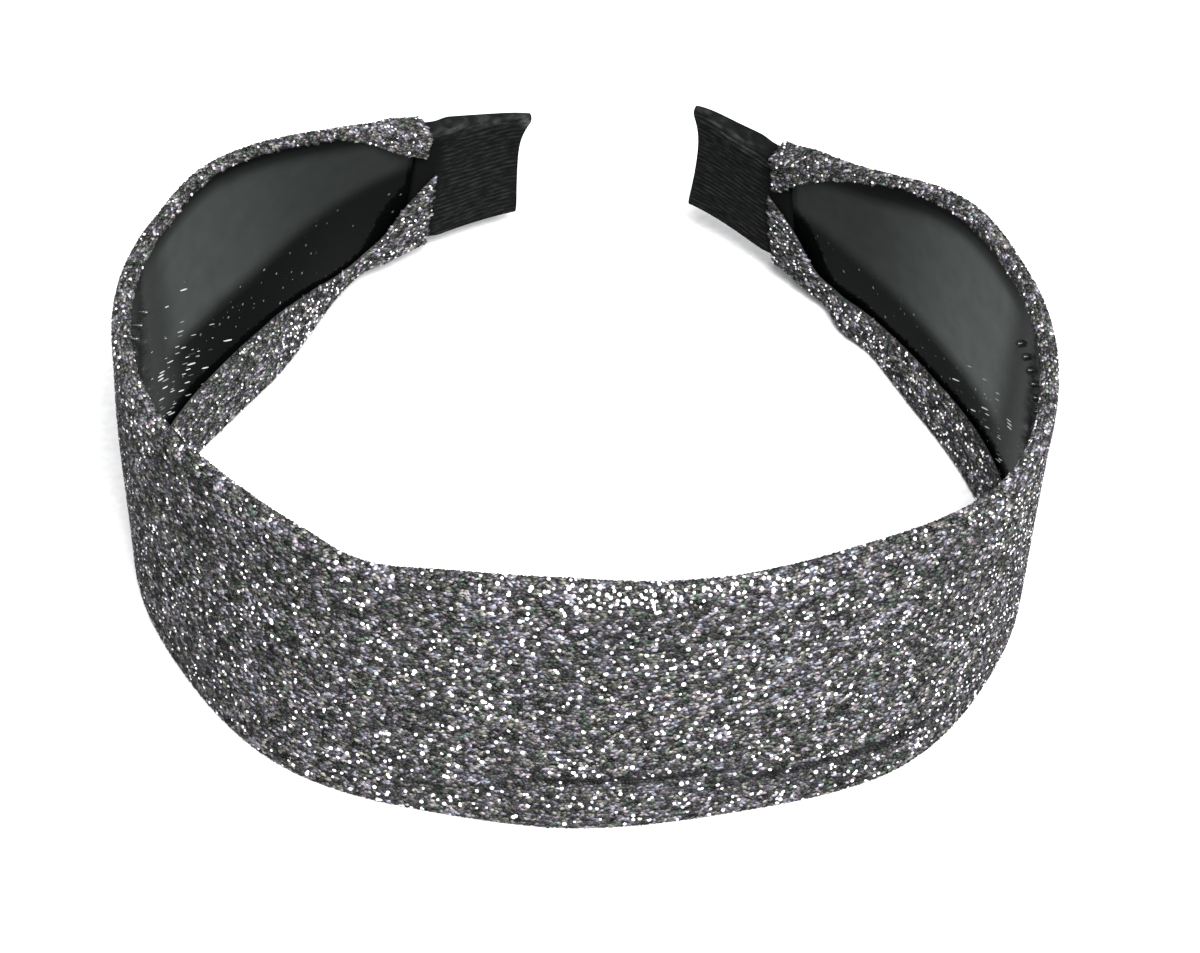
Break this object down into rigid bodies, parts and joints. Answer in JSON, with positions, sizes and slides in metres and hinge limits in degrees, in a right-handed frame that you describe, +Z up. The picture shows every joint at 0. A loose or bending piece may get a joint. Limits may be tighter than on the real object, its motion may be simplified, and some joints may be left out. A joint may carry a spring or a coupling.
{
  "type": "glitter headband",
  "caption": "Wide open headband that lies on its edge: a curved plastic strip in a glitter knit cover folded over both edges, with black ribbon sleeves on its tips.",
  "frame": {"origin": "centre of the bounding box, on the surface that the headband's edge lies on", "axes": "+Z up, across the band's width; -Y towards the front of the band, where the forehead would be; +X to the right seen from the front"},
  "size_m": [0.1344, 0.1344, 0.049],
  "materials": {
    "black_plastic": "moulded, glossy, lightly scuffed",
    "glitter_knit": "charcoal knit with silver metallic glints",
    "black_ribbon": "ribbed grosgrain, matt"
  },
  "bodies": {
    "root": {"band_core": "black_plastic", "glitter_cover": "glitter_knit", "tip_wrap_left": "black_ribbon", "tip_wrap_right": "black_ribbon"}
  },
  "joints": []
}
